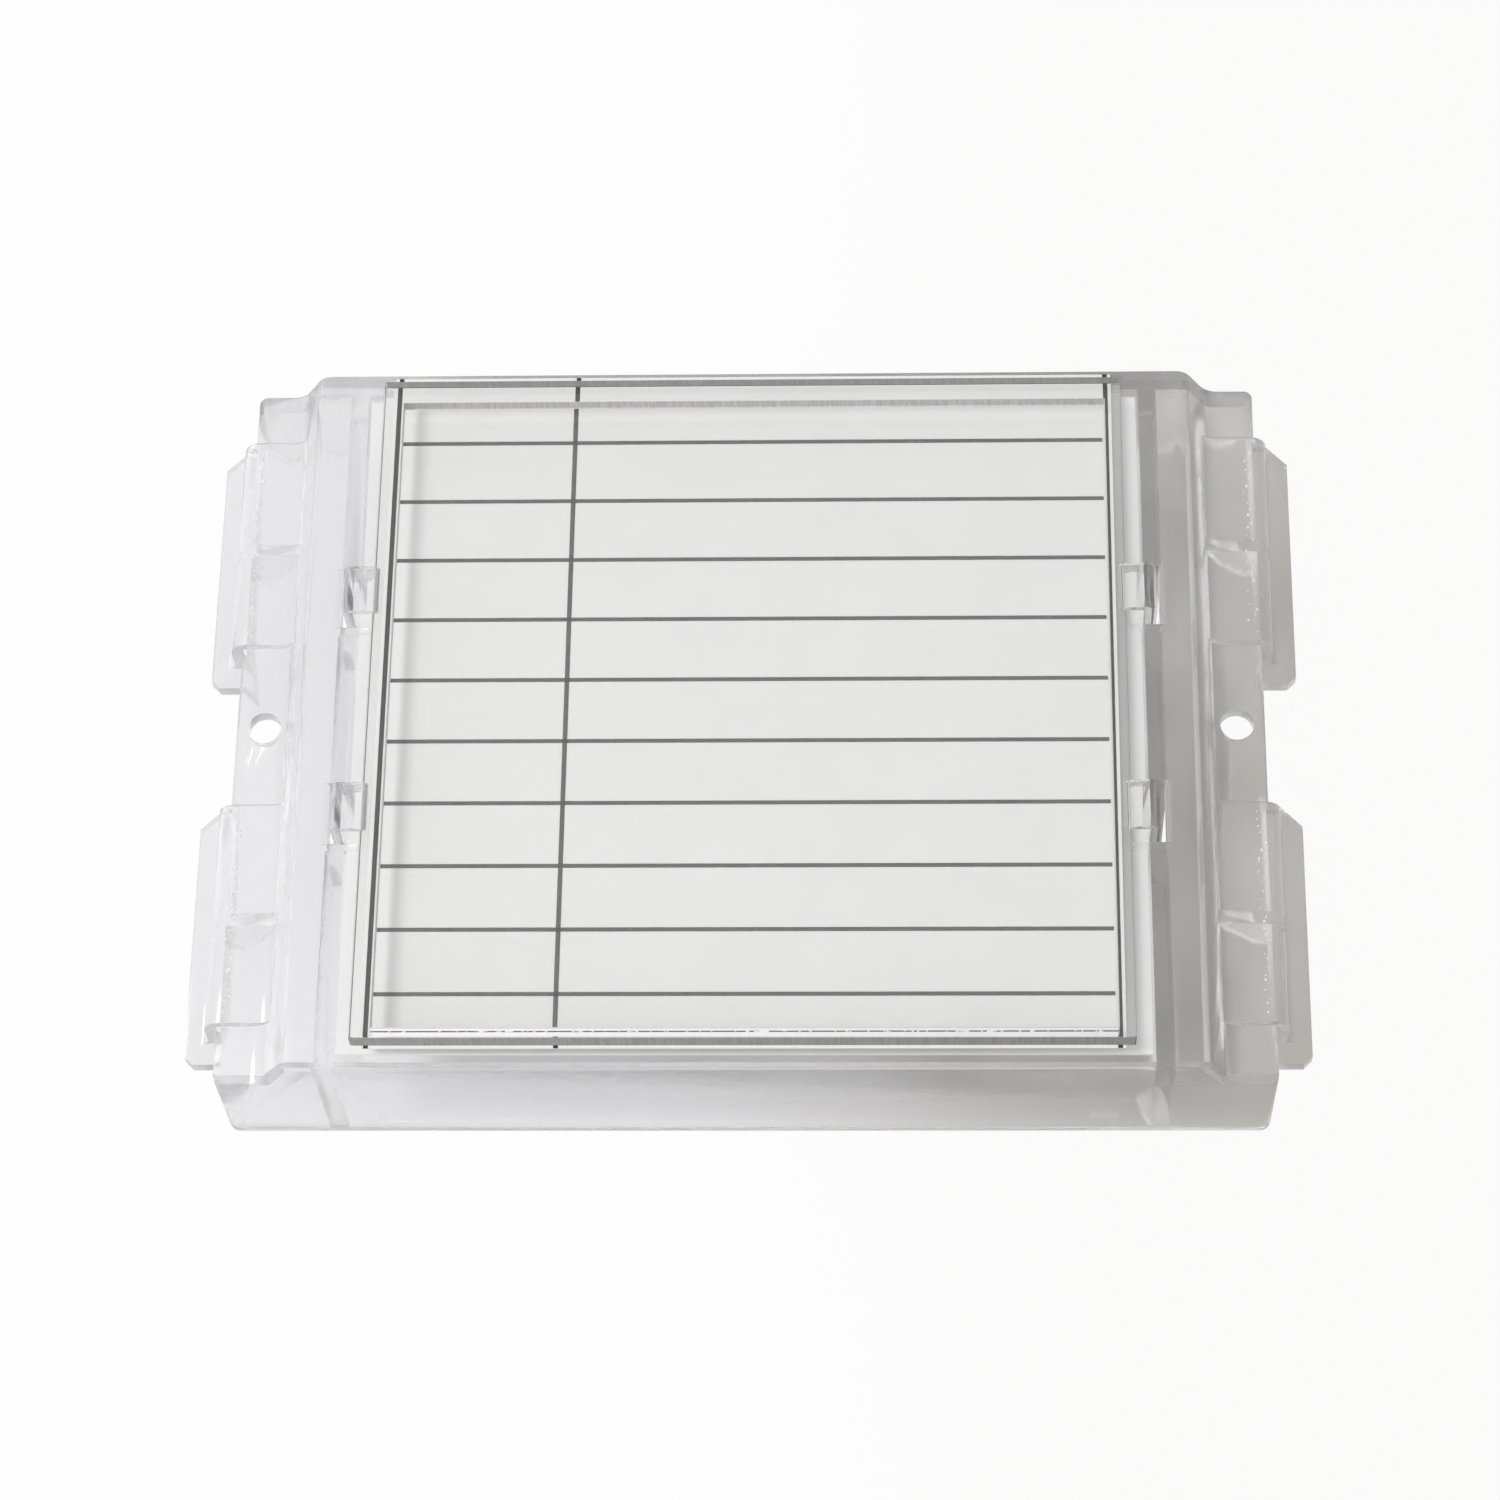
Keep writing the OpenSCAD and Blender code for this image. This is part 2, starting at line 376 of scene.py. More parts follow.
@dataclass(frozen=True)
class Paper:
    """Matt white paper or card with a faint fibre."""

    name: str
    pale: Colour
    shade: Colour
    fibre: float = 0.5 * MM
    fibre_stretch: Triple = (3, 1, 1)
    fibre_detail: float = 4
    cloud: float = 9 * MM
    blotch: Pair = (0.4, 1)
    depth: float = 0.012 * MM
    roughness: float = 0.85
    sheen: float = 0.2

    def material(self) -> bpy.types.Material:
        """Returns the finish as a material."""
        book = MaterialBook(self.name)
        fibre = book.noise(self.fibre, self.fibre_stretch, self.fibre_detail)
        cloud = book.noise(self.cloud)
        fine, broad = book.spread(fibre, *self.blotch), book.spread(cloud, *self.blotch)
        share = book.math("MULTIPLY", fine, broad)
        inputs = {
            "Base Color": book.tint(share, self.pale, self.shade),
            "Roughness": self.roughness,
            "Specular IOR Level": self.sheen,
            "Normal": book.bump(fibre, self.depth),
        }
        return book.show(book.add("ShaderNodeBsdfPrincipled", inputs).outputs[0])


@dataclass(frozen=True)
class Ink:
    """Black print, a little paler where it lies thin."""

    full: Colour = (0.016, 0.016, 0.017, 1)
    thin: Colour = (0.05, 0.048, 0.046, 1)
    grain: float = 0.3 * MM
    roughness: Pair = (0.5, 0.75)

    def material(self) -> bpy.types.Material:
        """Returns the finish as a material."""
        book = MaterialBook("black_ink")
        grain = book.noise(self.grain)
        inputs = {
            "Base Color": book.tint(book.spread(grain, 0, 1), self.full, self.thin),
            "Roughness": book.spread(grain, *self.roughness),
        }
        return book.show(book.add("ShaderNodeBsdfPrincipled", inputs).outputs[0])


@dataclass(frozen=True)
class WhiteFleck:
    """White skin of saw chips, and of small bubbles in clear plastic, where the white is partly a
    painted highlight for the bubbles' glints.
    """

    name: str
    pale: Colour = (0.98, 0.98, 0.98, 1)
    dull: Colour = (0.85, 0.85, 0.86, 1)
    grain: float = 0.4 * MM
    roughness: Pair = (0.25, 0.5)

    def material(self) -> bpy.types.Material:
        """Returns the finish as a material."""
        book = MaterialBook(self.name)
        grain = book.noise(self.grain)
        inputs = {
            "Base Color": book.tint(book.spread(grain, 0, 1), self.pale, self.dull),
            "Roughness": book.spread(grain, *self.roughness),
            "IOR": ACRYLIC,
        }
        return book.show(book.add("ShaderNodeBsdfPrincipled", inputs).outputs[0])


def new_object(name: str, mesh: bpy.types.Mesh, *finishes: bpy.types.Material) -> bpy.types.Object:
    """Puts a mesh into the scene.

    Args:
        name: The piece's name.
        mesh: Its mesh, in place.
        *finishes: Its materials, in the order of the mesh's material numbers.

    Returns:
        The new object.
    """
    made = bpy.data.objects.new(name, mesh)
    bpy.context.scene.collection.objects.link(made)
    for finish in finishes:
        mesh.materials.append(finish)
    return made


def baked(piece: bpy.types.Object) -> bpy.types.Object:
    """Turns a piece's modifiers into plain mesh.

    Args:
        piece: The piece, with live modifiers.

    Returns:
        The same piece, with none.
    """
    graph = bpy.context.evaluated_depsgraph_get()
    graph.update()
    mesh = bpy.data.meshes.new_from_object(piece.evaluated_get(graph))
    piece.modifiers.clear()
    piece.data = mesh
    return piece


def hand_over(piece: bpy.types.Object, body: str, slot: Slot, *nodes: str) -> bpy.types.Object:
    """Hangs a finished piece on its body, hides the CAD nodes that it stands for and logs it.

    Args:
        piece: The piece, at the origin with its place in its mesh.
        body: The CAD body that it moves with.
        slot: The record's slot; not used.
        *nodes: The CAD nodes that it stands for.

    Returns:
        The same piece.
    """
    if nodes:
        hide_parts(*nodes)
    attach(piece, body)
    faces = len(piece.data.polygons)
    LOG.info("%s: %d faces, on %s, for %s", piece.name, faces, body, ", ".join(nodes) or "itself")
    return piece


@dataclass
class RoundedCopy:
    """A CAD node's solid with its sharp edges rounded as a mould leaves them."""

    node: str
    body: str
    name: str
    radius: float
    segments: int = 2
    sharp: float = math.radians(32)
    weld: float = 0.0005 * MM
    flat: float = math.radians(0.5)

    def build(self, finish: bpy.types.Material) -> bpy.types.Object:
        """Makes the piece.

        Args:
            finish: Its material.

        Returns:
            The piece, in the scene.
        """
        shape = bmesh.new()
        shape.from_mesh(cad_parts[self.node].data)
        bmesh.ops.remove_doubles(shape, verts=shape.verts, dist=self.weld)
        bmesh.ops.dissolve_limit(shape, angle_limit=self.flat, verts=shape.verts, edges=shape.edges)
        mesh = bpy.data.meshes.new(self.name)
        shape.to_mesh(mesh)
        shape.free()
        piece = new_object(self.name, mesh, finish)
        mesh.polygons.foreach_set("use_smooth", [True] * len(mesh.polygons))
        bevel = piece.modifiers.new("rounding", "BEVEL")
        bevel.width = self.radius
        bevel.segments = self.segments
        bevel.limit_method = "ANGLE"
        bevel.angle_limit = self.sharp
        bevel.harden_normals = True
        return baked(piece)

    def dress(self, finish: bpy.types.Material) -> bpy.types.Object:
        """Builds the piece and lets it stand for its node.

        Args:
            finish: Its material.

        Returns:
            The piece.
        """
        return hand_over(self.build(finish), self.body, Slot.MOULDING, self.node)


class Facet(Enum):
    """The kinds of face on a slab, by the number of their material."""

    LEFT = 0
    RIGHT = 1
    FRONT = 2
    REAR = 3
    FLAT = 4
    RIM = 5


@dataclass
class Slab:
    """A flat rectangular piece with rounded edges, in the box of its CAD node."""

    node: str
    body: str
    name: str
    slot: Slot
    edge_r: float
    lift: float = 0.0
    trim: float = 0.0
    square: float = 0.99
    segments: int = 2
    profile: float = 0.5

    def facet(self, normal: Vector) -> Facet:
        """Tells which kind of face has this normal.

        Args:
            normal: The face's normal.

        Returns:
            A side, the front, the rear, a flat or the rounded rim.
        """
        side = Facet.LEFT if normal.x < 0 else Facet.RIGHT
        end = Facet.FRONT if normal.y < 0 else Facet.REAR
        for share, kind in zip(normal, (side, end, Facet.FLAT)):
            if abs(share) > self.square:
                return kind
        return Facet.RIM

    def build(self, finishes: dict[Facet, bpy.types.Material]) -> bpy.types.Object:
        """Makes the slab.

        Args:
            finishes: The material of each kind of face.

        Returns:
            The piece, in the scene.
        """
        low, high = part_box(self.node)
        low.z += self.lift
        high.z -= self.trim
        shape = bmesh.new()
        bmesh.ops.create_cube(shape, size=1)
        size = high - low
        bmesh.ops.scale(shape, vec=size, verts=shape.verts)
        bmesh.ops.translate(shape, vec=(low + high) / 2, verts=shape.verts)
        bmesh.ops.bevel(
            shape,
            geom=list(shape.edges),
            offset=self.edge_r,
            segments=self.segments,
            profile=self.profile,
            affect="EDGES",
        )
        bmesh.ops.recalc_face_normals(shape, faces=shape.faces)
        for face in shape.faces:
            face.material_index = self.facet(face.normal).value
        mesh = bpy.data.meshes.new(self.name)
        shape.to_mesh(mesh)
        shape.free()
        return new_object(self.name, mesh, *(finishes[kind] for kind in Facet))

    def dress(self, finishes: dict[Facet, bpy.types.Material]) -> bpy.types.Object:
        """Builds the slab and lets it stand for its node.

        Args:
            finishes: The material of each kind of face.

        Returns:
            The piece.
        """
        return hand_over(self.build(finishes), self.body, self.slot, self.node)


class GeometryBook(NodeBook):
    """A Geometry Nodes tree with named inputs, run once on a piece."""

    def __init__(self, name: str) -> None:
        """Makes a tree with a geometry output.

        Args:
            name: The tree's name.
        """
        super().__init__(bpy.data.node_groups.new(name, "GeometryNodeTree"))
        self.sockets: dict[str, str] = {}
        self.tree.interface.new_socket("Geometry", in_out="INPUT", socket_type="NodeSocketGeometry")
        self.tree.interface.new_socket("Geometry", in_out="OUTPUT", socket_type="NodeSocketGeometry")
        self.inlet = self.add("NodeGroupInput")
        self.outlet = self.add("NodeGroupOutput")

    def ask(self, name: str, kind: str) -> bpy.types.NodeSocket:
        """Adds a named input.

        Args:
            name: The input's name.
            kind: Float, Int or Material.

        Returns:
            The input's socket inside the tree.
        """
        made = self.tree.interface.new_socket(name, in_out="INPUT", socket_type=f"NodeSocket{kind}")
        self.sockets[name] = made.identifier
        return self.inlet.outputs[name]

    def end(self, geometry: Any, finish: Any) -> None:
        """Closes the tree with real faces and a material.

        Args:
            geometry: What the tree has made.
            finish: The material input's socket.
        """
        real = self.add("GeometryNodeRealizeInstances", {"Geometry": geometry}).outputs[0]
        inputs = {"Geometry": real, "Material": finish}
        done = self.add("GeometryNodeSetMaterial", inputs).outputs[0]
        self.tree.links.new(done, self.outlet.inputs[0])

    def run(self, piece: bpy.types.Object, values: dict[str, Any]) -> bpy.types.Object:
        """Runs the tree on a piece and leaves plain mesh.

        Args:
            piece: The piece with the mesh that the tree reads.
            values: The inputs' values, by name.

        Returns:
            The same piece.
        """
        modifier = piece.modifiers.new("maker", "NODES")
        modifier.node_group = self.tree
        for name, value in values.items():
            modifier[self.sockets[name]] = value
        return baked(piece)


@dataclass
class PrintedRuling:
    """The printed lines: rows across, two borders and a divider, with slightly uneven edges."""

    rows: int = 10
    pitch: float = 8 * MM
    first_row: float = 5.6 * MM
    border_w: float = 85.8 * MM
    divider_share: float = 0.253
    border_line: float = 0.55 * MM
    divider_line: float = 0.55 * MM
    row_line: float = 0.5 * MM
    row_gap: float = 0.25 * MM
    uneven: float = 0.05 * MM
    uneven_grain: float = 0.7 * MM
    step: float = 0.35 * MM
    trim: float = 0.01 * MM
    name: str = "printed_ruling"

    def tree(self) -> GeometryBook:
        """Returns the Geometry Nodes tree that draws the lines."""
        book = GeometryBook("ruling_lines")
        rows = book.ask("Rows", "Int")
        pitch = book.ask("Row Pitch", "Float")
        start = book.ask("First Row", "Float")
        length = book.ask("Row Length", "Float")
        row_w = book.ask("Row Width", "Float")
        depth = book.ask("Line Length", "Float")
        middle = book.ask("Line Middle", "Float")
        border_x = book.ask("Border Place", "Float")
        border_w = book.ask("Border Width", "Float")
        divider_x = book.ask("Divider Place", "Float")
        divider_w = book.ask("Divider Width", "Float")
        ink = book.ask("Ink Depth", "Float")
        level = book.ask("Level", "Float")
        step = book.ask("Step", "Float")
        uneven = book.ask("Unevenness", "Float")
        finish = book.ask("Finish", "Material")
        strip = self.strip(book, length, row_w, ink, step)
        vec = "ShaderNodeCombineXYZ"
        first = book.add(vec, {"Y": start, "Z": level}).outputs[0]
        offset = book.add(vec, {"Y": pitch}).outputs[0]
        places = {"Count": rows, "Start Location": first, "Offset": offset}
        points = book.add("GeometryNodeMeshLine", places).outputs[0]
        inputs = {"Points": points, "Instance": strip}
        across = book.add("GeometryNodeInstanceOnPoints", inputs).outputs[0]
        join = book.add("GeometryNodeJoinGeometry")
        book.tree.links.new(across, join.inputs[0])
        left = book.math("MULTIPLY", border_x, -1)
        for place, width in ((left, border_w), (border_x, border_w), (divider_x, divider_w)):
            line = self.strip(book, depth, width, ink, step)
            spot = book.add(vec, {"X": place, "Y": middle, "Z": level}).outputs[0]
            turn = (0, 0, math.pi / 2)
            inputs = {"Geometry": line, "Translation": spot, "Rotation": turn}
            moved = book.add("GeometryNodeTransform", inputs).outputs[0]
            book.tree.links.new(moved, join.inputs[0])
        inputs = {"Scale": 1 / self.uneven_grain, "Detail": 2}
        noise = book.add("ShaderNodeTexNoise", inputs).outputs["Color"]
        centred = book.add("ShaderNodeVectorMath", {0: noise, 1: (0.5, 0.5, 0.5)}, operation="SUBTRACT")
        flat = book.add(vec, {"X": uneven, "Y": uneven}).outputs[0]
        shift = book.add("ShaderNodeVectorMath", {0: centred.outputs[0], 1: flat}, operation="MULTIPLY")
        real = book.add("GeometryNodeRealizeInstances", {"Geometry": join.outputs[0]}).outputs[0]
        inputs = {"Geometry": real, "Offset": shift.outputs[0]}
        book.end(book.add("GeometryNodeSetPosition", inputs).outputs[0], finish)
        return book

    def strip(self, book: GeometryBook, length: Any, width: Any, depth: Any, step: Any) -> Any:
        """Adds one line's strip, along X about the origin.

        Args:
            book: The tree.
            length: The strip's length.
            width: The strip's width.
            depth: The strip's thickness.
            step: Distance between its cuts.

        Returns:
            The strip's geometry.
        """
        size = book.add("ShaderNodeCombineXYZ", {"X": length, "Y": width, "Z": depth}).outputs[0]
        cuts = book.math("CEIL", book.math("DIVIDE", length, step))
        inputs = {"Size": size, "Vertices X": cuts, "Vertices Y": 2, "Vertices Z": 2}
        return book.add("GeometryNodeMeshCube", inputs).outputs[0]

    def dress(self, finish: bpy.types.Material) -> bpy.types.Object:
        """Draws the lines and lets them stand for the CAD node.

        Args:
            finish: The ink.

        Returns:
            The piece.
        """
        low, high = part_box("ruling")
        plate_low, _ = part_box("window_plate")
        border_x = self.border_w / 2
        ink = high.z - low.z - self.trim
        values = {
            "Rows": self.rows,
            "Row Pitch": self.pitch,
            "First Row": plate_low.y + self.first_row,
            "Row Length": self.border_w - self.border_line - 2 * self.row_gap,
            "Row Width": self.row_line,
            "Line Length": high.y - low.y,
            "Line Middle": (low.y + high.y) / 2,
            "Border Place": border_x,
            "Border Width": self.border_line,
            "Divider Place": -border_x + self.divider_share * self.border_w,
            "Divider Width": self.divider_line,
            "Ink Depth": ink,
            "Level": low.z + ink / 2,
            "Step": self.step,
            "Unevenness": self.uneven,
            "Finish": finish,
        }
        piece = new_object(self.name, bpy.data.meshes.new(self.name), finish)
        return hand_over(self.tree().run(piece, values), "plate", Slot.INK, "ruling")


@dataclass
class LineScatter:
    """Small uneven drops along straight lines, such as moulding bubbles or saw chips."""

    name: str
    lines: list[tuple[Vector, Vector]]
    spacing: float
    size: Pair
    spread: Triple
    shape: Triple
    seed: int
    segments: int = 8
    rings: int = 5

    def tree(self) -> GeometryBook:
        """Returns the Geometry Nodes tree that scatters the drops."""
        book = GeometryBook(f"{self.name}_drops")
        spacing = book.ask("Spacing", "Float")
        small = book.ask("Smallest", "Float")
        large = book.ask("Largest", "Float")
        seed = book.ask("Seed", "Int")
        finish = book.ask("Finish", "Material")
        curve = book.add("GeometryNodeMeshToCurve", {0: book.inlet.outputs[0]}).outputs[0]
        inputs = {"Curve": curve, "Length": spacing}
        dotted = book.add("GeometryNodeResampleCurve", inputs, mode="LENGTH").outputs[0]
        points = book.add("GeometryNodeCurveToPoints", {"Curve": dotted}, mode="EVALUATED").outputs[0]
        reach = Vector(self.spread)
        inputs = {"Min": -reach, "Max": reach, "Seed": seed}
        shift = book.add("FunctionNodeRandomValue", inputs, data_type="FLOAT_VECTOR").outputs[0]
        moved = book.add("GeometryNodeSetPosition", {"Geometry": points, "Offset": shift}).outputs[0]
        inputs = {"Segments": self.segments, "Rings": self.rings, "Radius": 1.0}
        drop = book.add("GeometryNodeMeshUVSphere", inputs).outputs[0]
        smooth = book.add("GeometryNodeSetShadeSmooth", {"Geometry": drop}).outputs[0]
        formed = book.add("GeometryNodeTransform", {"Geometry": smooth, "Scale": self.shape}).outputs[0]
        later = book.math("ADD", seed, 1)
        inputs = {2: small, 3: large, "Seed": later}
        scale = book.add("FunctionNodeRandomValue", inputs, data_type="FLOAT").outputs[1]
        inputs = {"Points": moved, "Instance": formed, "Scale": scale}
        book.end(book.add("GeometryNodeInstanceOnPoints", inputs).outputs[0], finish)
        return book

    def dress(self, body: str, slot: Slot, finish: bpy.types.Material) -> bpy.types.Object:
        """Scatters the drops.

        Args:
            body: The CAD body that they move with.
            slot: The record's slot.
            finish: Their material.

        Returns:
            The piece.
        """
        mesh = bpy.data.meshes.new(self.name)
        ends = [point for line in self.lines for point in line]
        pairs = [(i, i + 1) for i in range(0, len(ends), 2)]
        mesh.from_pydata(ends, pairs, [])
        piece = new_object(self.name, mesh, finish)
        values = {
            "Spacing": self.spacing,
            "Smallest": self.size[0],
            "Largest": self.size[1],
            "Seed": self.seed,
            "Finish": finish,
        }
        return hand_over(self.tree().run(piece, values), body, slot)


@dataclass
class Moulding:
    """The clear holder: frame, latches and the bubbles along its wing bends."""

    frame_edge: float = 0.22 * MM
    latch_edge: float = 0.1 * MM
    wing_pitch: float = 49 * MM
    bend_x: float = 60.1 * MM
    bend_l: float = 25 * MM
    ledge_z: float = 16.2 * MM

    def dress(self) -> None:
        """Builds the holder's pieces."""
        clear = ClearMoulding().material()
        finger = ClearMoulding("clear_finger", index=1.2, clear=(0.9, 0.96), roughness=(0.04, 0.1))
        thin = finger.material()
        RoundedCopy("frame", "holder", "moulded_frame", self.frame_edge).dress(clear)
        for row in Row:
            for side in Side:
                place = f"{row.name}_{side.name}".lower()
                name = f"{place}_finger"
                RoundedCopy(f"{place}_latch", f"{place}_hook", name, self.latch_edge).dress(thin)
        # The bubbles are beads in the moulding, made opaque white as a painted highlight for their
        # glints
        self.bubbles().dress("holder", Slot.MOULDING, WhiteFleck("bubble_painted_glint").material())

    def bubbles(self) -> LineScatter:
        """Returns the bubbles along the four wing bends."""
        lines = []
        half = Vector((0, self.bend_l / 2, 0))
        for side in Side:
            for row in Row:
                y = row.value * self.wing_pitch / 2
                middle = Vector((side.value * self.bend_x, y, self.ledge_z))
                lines.append((middle - half, middle + half))
        return LineScatter(
            name="bend_bubbles",
            lines=lines,
            spacing=0.9 * MM,
            size=(0.06 * MM, 0.17 * MM),
            spread=(0.6 * MM, 0.45 * MM, 0.02 * MM),
            shape=(1, 1.3, 0.6),
            seed=7,
        )


@dataclass
class CountingPlates:
    """The two clear plates, the ruled sheet under them and the card under the deck."""

    plate_edge: float = 0.12 * MM
    plate_lift: float = 0.01 * MM
    paper_edge: float = 0.05 * MM
    card_trim: float = 0.02 * MM
    score_drop: float = 1.0 * MM
    score_w: float = 0.4 * MM
    chip_out: float = 0.02 * MM
    chip_margin: float = 2 * MM
    cover_tones: tuple[Colour, Colour] = (grey(0.99), grey(0.93))
    shading: Colour = grey(0.3)
    letting: Colour = grey(0.95)
    # Painted light: emission strength of the cover's front edge
    painted_glow: float = 0.2

    def dress(self) -> None:
        """Builds the plates, the sheet, the card and the ruling."""
        face = PolishedFace().material()
        edge, lift, trim = self.plate_edge, self.plate_lift, self.card_trim
        window = Slab("window_plate", "plate", "window_glazing", Slot.PLATE, edge, lift)
        window.dress(self.window_finishes(face))
        cover = Slab("cover_plate", "cover", "cover_glazing", Slot.PLATE, edge)
        cover.dress(self.cover_finishes(face))
        self.chips().dress("cover", Slot.PLATE, WhiteFleck("chip_skin").material())
        paper = Paper("sheet_paper", (0.9, 0.9, 0.895, 1), (0.84, 0.84, 0.83, 1)).material()
        sheet = Slab("ruled_sheet", "plate", "paper_sheet", Slot.SHEET, self.paper_edge)
        sheet.dress(dict.fromkeys(Facet, paper))
        paper = Paper("backing_paper", (0.92, 0.92, 0.915, 1), (0.86, 0.86, 0.85, 1)).material()
        card = Slab("backing_card", "holder", "white_card", Slot.CARD, self.paper_edge, trim=trim)
        card.dress(dict.fromkeys(Facet, paper))
        PrintedRuling().dress(Ink().material())

    def window_finishes(self, face: bpy.types.Material) -> dict[Facet, bpy.types.Material]:
        """Makes the window plate's finishes: pale sides, and ends painted darker as shade.

        Args:
            face: The finish of its polished faces.

        Returns:
            The material of each kind of face.
        """
        side = SawnEdge("window_side", grey(0.82), grey(0.68), lets_by=self.letting).material()
        # Painted shade: the ends take darker tones for the shade they lie in
        dull = SawnEdge("window_edge", (0.46, 0.44, 0.425, 1), (0.36, 0.345, 0.33, 1)).material()
        return dict(zip(Facet, (side, side, dull, dull, face, face)))

    def cover_finishes(self, face: bpy.types.Material) -> dict[Facet, bpy.types.Material]:
        """Makes the cover plate's finishes: pale sawn edges, with a score line and painted light in
        front, and a rear edge painted darker as shade.

        Args:
            face: The finish of its polished faces.

        Returns:
            The material of each kind of face.
        """
        score_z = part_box("cover_plate")[1].z - self.score_drop
        score_and_painted_glow = {"painted_glow": self.painted_glow, "score_z": score_z, "score_w": self.score_w}
        left = SawnEdge("cover_edge", *self.cover_tones, lets_by=self.shading).material()
        right = SawnEdge("cover_side", *self.cover_tones, lets_by=self.letting).material()
        front = SawnEdge("cover_front", *self.cover_tones, lets_by=self.shading, **score_and_painted_glow).material()
        # Painted shade: the rear edge takes darker tones for the shade it lies in, seen from inside the
        # plate
        rear = SawnEdge("cover_back", (0.7, 0.685, 0.67, 1), (0.54, 0.525, 0.51, 1)).material()
        rim = SawnEdge("cover_rim", grey(0.75), grey(0.6)).material()
        return dict(zip(Facet, (left, right, front, rear, face, rim)))

    def chips(self) -> LineScatter:
        """Returns the saw chips along the score line on the cover's front edge."""
        low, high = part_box("cover_plate")
        y = low.y - self.chip_out
        z = high.z - self.score_drop
        first = Vector((low.x + self.chip_margin, y, z))
        last = Vector((high.x - self.chip_margin, y, z))
        return LineScatter(
            name="saw_chips",
            lines=[(first, last)],
            spacing=2.6 * MM,
            size=(0.08 * MM, 0.2 * MM),
            spread=(1.2 * MM, 0.01 * MM, 0.15 * MM),
            shape=(1, 0.4, 1.8),
            seed=3,
        )


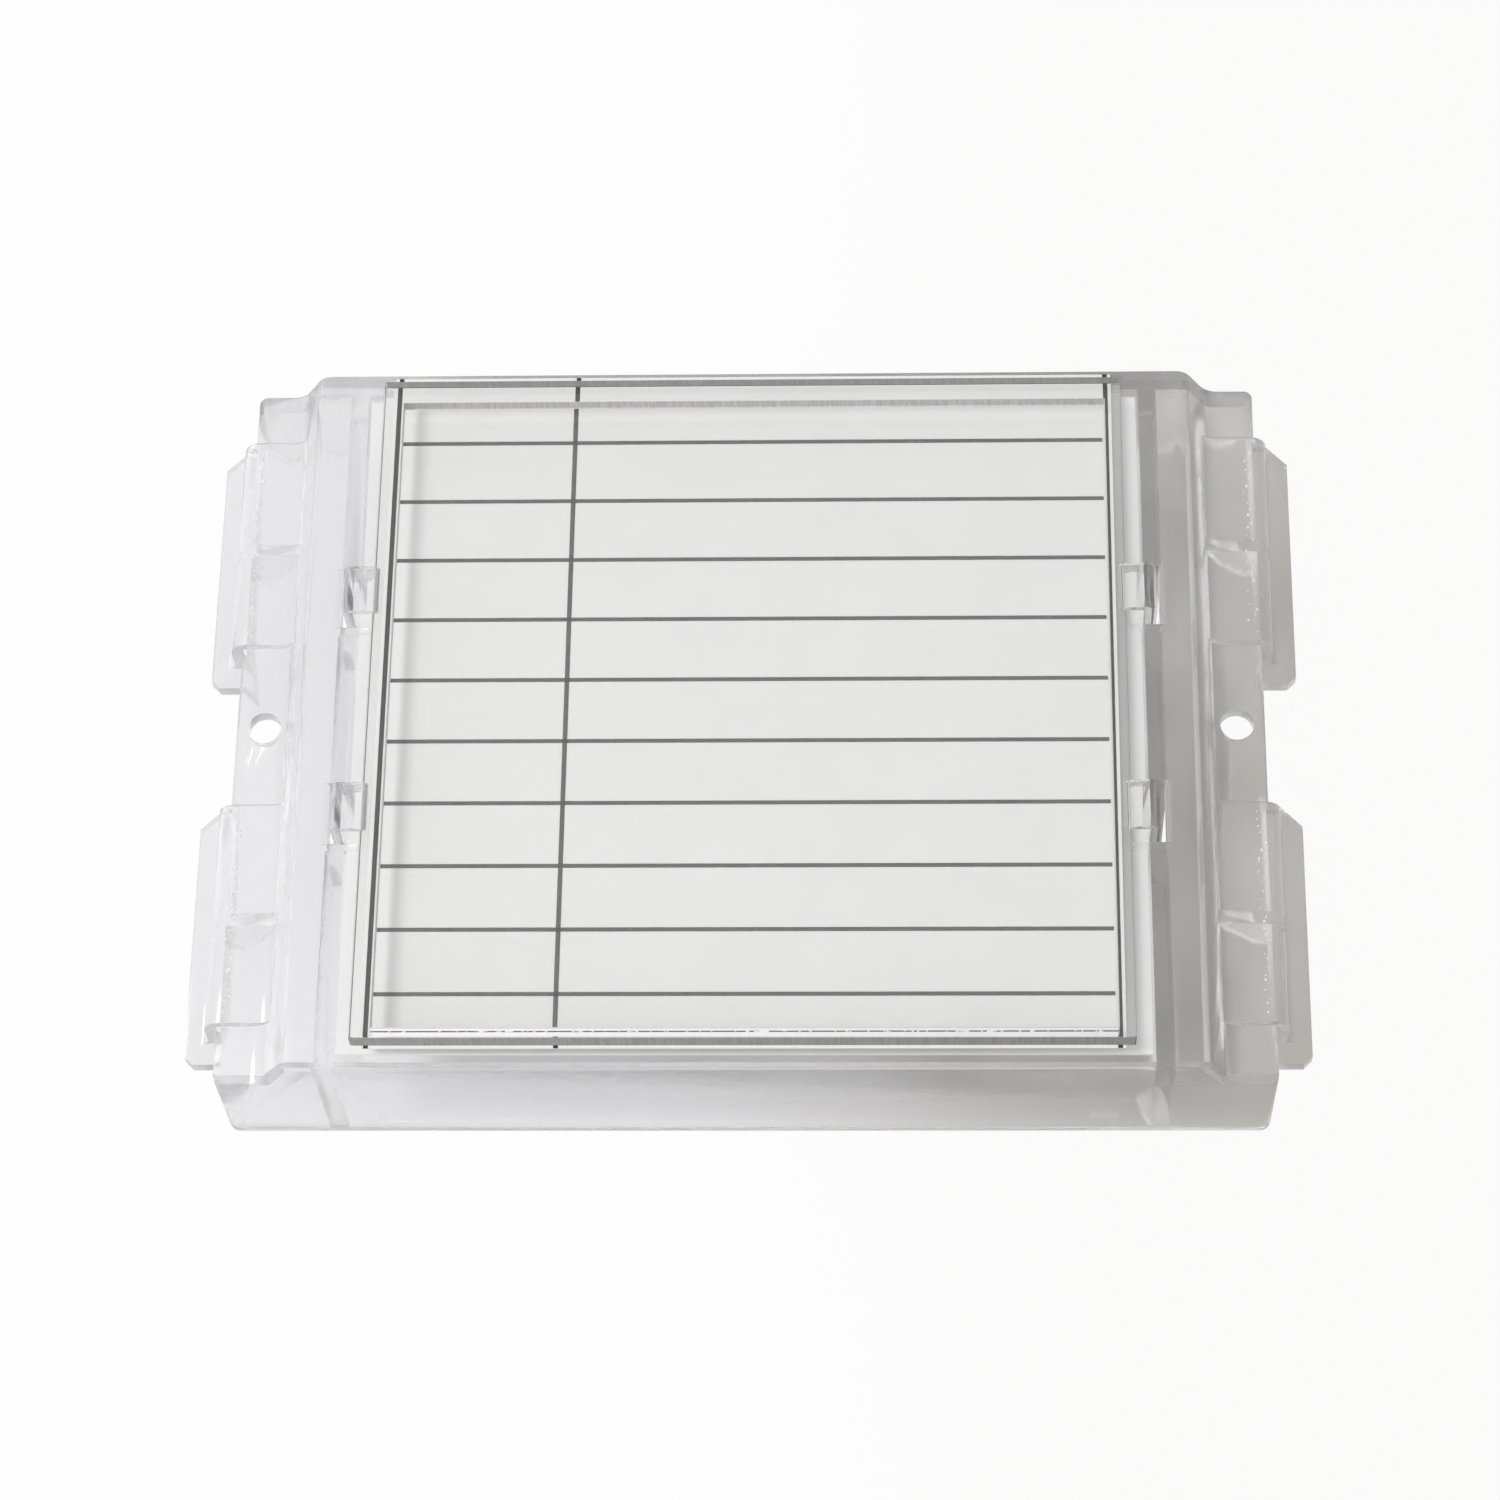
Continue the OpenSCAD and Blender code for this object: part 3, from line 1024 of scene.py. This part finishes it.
@dataclass
class Studio:
    """Pale floor, soft light from the left and the camera."""

    floor_size: float = 4.0
    floor_drop: float = 0.2 * MM
    pale_tone: Colour = (0.795, 0.785, 0.805, 1)
    # Painted shade: the floor's tone darkens to the right over this span, standing in for the shade the
    # holder casts on the table there
    painted_shade_tone: Colour = (0.355, 0.327, 0.296, 1)
    painted_shade_x: Pair = (-10 * MM, 55 * MM)
    seen_share: float = 0.94
    dome: float = 0.62
    key_level: float = 0.42
    key_size: float = 0.22
    key_distance: float = 0.9
    key_azimuth: float = math.radians(-66)
    key_elevation: float = math.radians(61)
    eye: Triple = (20.762 * MM, -232.197 * MM, 489.311 * MM)
    across: Triple = (0.9992319, 0.0137364, -0.0367005)
    upward: Triple = (0.0035886, 0.9005382, 0.4347621)
    lens: float = 106.75
    sensor: float = 36.0

    def build(self) -> None:
        """Builds the floor, the light and the camera."""
        self.floor()
        self.world()
        self.key()
        self.camera()

    def floor(self) -> None:
        """Lays the floor: white to the camera, shaded by the object, with painted shade that darkens it
        to the right, standing in for the table's shade under the holder's right side.
        """
        shape = bmesh.new()
        bmesh.ops.create_grid(shape, x_segments=1, y_segments=1, size=self.floor_size / 2)
        bmesh.ops.translate(shape, vec=(0, 0, -self.floor_drop), verts=shape.verts)
        mesh = bpy.data.meshes.new("floor")
        shape.to_mesh(mesh)
        shape.free()
        book = MaterialBook("pale_floor")
        path = book.add("ShaderNodeLightPath").outputs
        # Painted shade: darker to the right, for the holder's shade on the table, seen through the
        # clear plastic
        x = book.add("ShaderNodeSeparateXYZ", {0: book.place}).outputs[0]
        fall = {"Value": x, "From Min": self.painted_shade_x[0], "From Max": self.painted_shade_x[1]}
        painted_shade = book.add("ShaderNodeMapRange", fall, interpolation_type="SMOOTHSTEP").outputs[0]
        tone = book.tint(painted_shade, self.pale_tone, self.painted_shade_tone)
        paint = book.add("ShaderNodeBsdfDiffuse", {"Color": tone}).outputs[0]
        white = book.add("ShaderNodeEmission", {"Color": grey(1.0), "Strength": 1.0}).outputs[0]
        straight = book.math("MAXIMUM", path["Is Camera Ray"], path["Is Glossy Ray"])
        away = book.math("SUBTRACT", 1.0, path["Is Transmission Ray"])
        seen = book.math("MULTIPLY", book.math("MULTIPLY", straight, away), self.seen_share)
        finish = book.show(book.add("ShaderNodeMixShader", {0: seen, 1: paint, 2: white}).outputs[0])
        new_object("floor", mesh, finish)

    def world(self) -> None:
        """Sets an even dome that looks white where it is seen."""
        world = bpy.data.worlds.new("dome")
        world.use_nodes = True
        bpy.context.scene.world = world
        book = NodeBook(world.node_tree)
        path = book.add("ShaderNodeLightPath").outputs
        seen = book.math("MAXIMUM", path["Is Camera Ray"], path["Is Transmission Ray"])
        # A ray that has left a matt face carries light, so it meets the plain dome
        unlit = book.math("LESS_THAN", path["Diffuse Depth"], 0.5)
        seen = book.math("MULTIPLY", seen, unlit)
        strength = book.math("ADD", book.math("MULTIPLY", seen, 1.0 - self.dome), self.dome)
        sky = book.add("ShaderNodeBackground", {"Color": grey(1.0), "Strength": strength}).outputs[0]
        book.add("ShaderNodeOutputWorld", {"Surface": sky})

    def key(self) -> None:
        """Hangs the soft lamp on the left."""
        flat = math.cos(self.key_elevation)
        back = Vector(
            (
                math.sin(self.key_azimuth) * flat,
                -math.cos(self.key_azimuth) * flat,
                math.sin(self.key_elevation),
            )
        )
        lamp = bpy.data.lights.new("key", "AREA")
        lamp.shape = "SQUARE"
        lamp.size = self.key_size
        lamp.energy = self.key_level * (math.pi * self.key_distance) ** 2 / back.z
        made = bpy.data.objects.new("key", lamp)
        bpy.context.scene.collection.objects.link(made)
        made.location = back * self.key_distance
        made.rotation_mode = "QUATERNION"
        made.rotation_quaternion = (-back).to_track_quat("-Z", "Y")

    def camera(self) -> None:
        """Puts the camera where the photograph was taken."""
        lens = bpy.data.cameras.new("camera")
        lens.lens = self.lens
        lens.sensor_width = self.sensor
        made = bpy.data.objects.new("camera", lens)
        bpy.context.scene.collection.objects.link(made)
        across, upward = Vector(self.across), Vector(self.upward)
        turn = Matrix((across, upward, across.cross(upward))).transposed()
        made.matrix_world = Matrix.Translation(self.eye) @ turn.to_4x4()
        bpy.context.scene.camera = made


def main() -> None:
    """Builds the holder's looks and the studio round it."""
    logging.basicConfig(level=logging.INFO, format="%(name)s: %(message)s")
    bpy.context.scene.view_settings.view_transform = "Standard"
    Moulding().dress()
    CountingPlates().dress()
    Studio().build()


if __name__ == "__main__":
    main()
